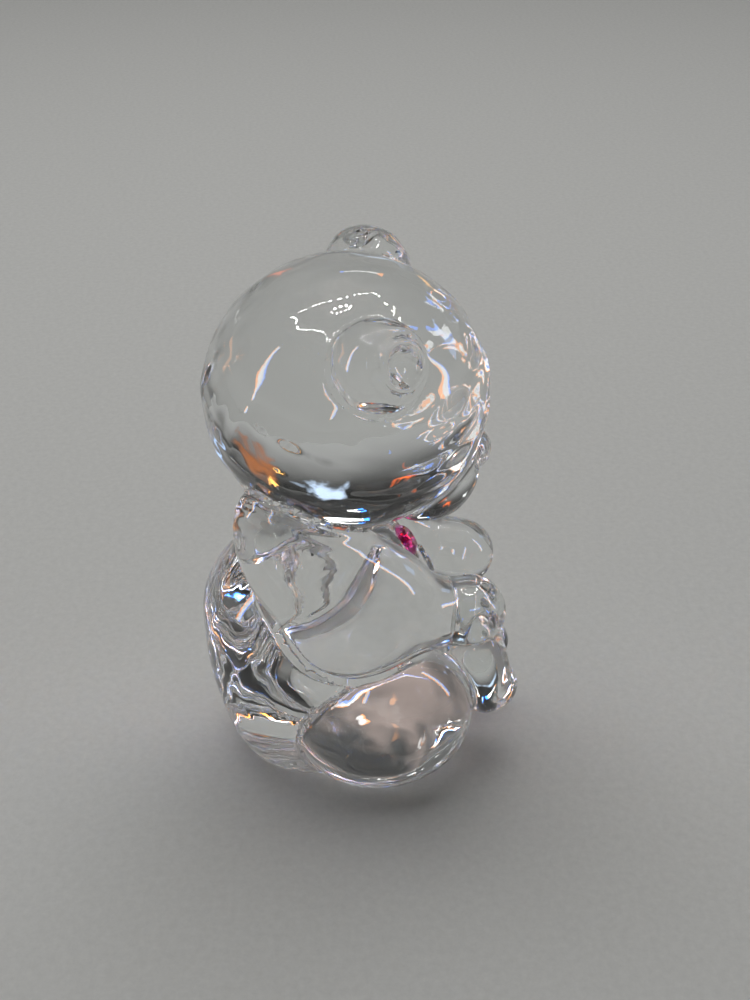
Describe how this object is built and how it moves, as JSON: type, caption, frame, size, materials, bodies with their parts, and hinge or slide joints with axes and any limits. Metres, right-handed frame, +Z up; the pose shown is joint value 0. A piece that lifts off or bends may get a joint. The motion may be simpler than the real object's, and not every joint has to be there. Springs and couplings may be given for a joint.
{
  "type": "crystal glass figurine",
  "caption": "Seated bear in solid clear crystal with a small pink faceted stone glued into its chest and a flat ground base.",
  "frame": {"origin": "middle of the flat base, on the surface that the bear stands on", "axes": "+Z up, the bear faces -Y, its right side is -X"},
  "size_m": [0.0512, 0.0529, 0.0862],
  "materials": {
    "lead_crystal": "fire polished",
    "pink_stone": "cut and polished",
    "mirror_foil": "silvered",
    "clear_adhesive": "cured gloss"
  },
  "bodies": {
    "root": {"bear_casting": "lead_crystal", "chest_stone": "pink_stone", "stone_foil": "mirror_foil", "stone_adhesive": "clear_adhesive"}
  },
  "joints": []
}
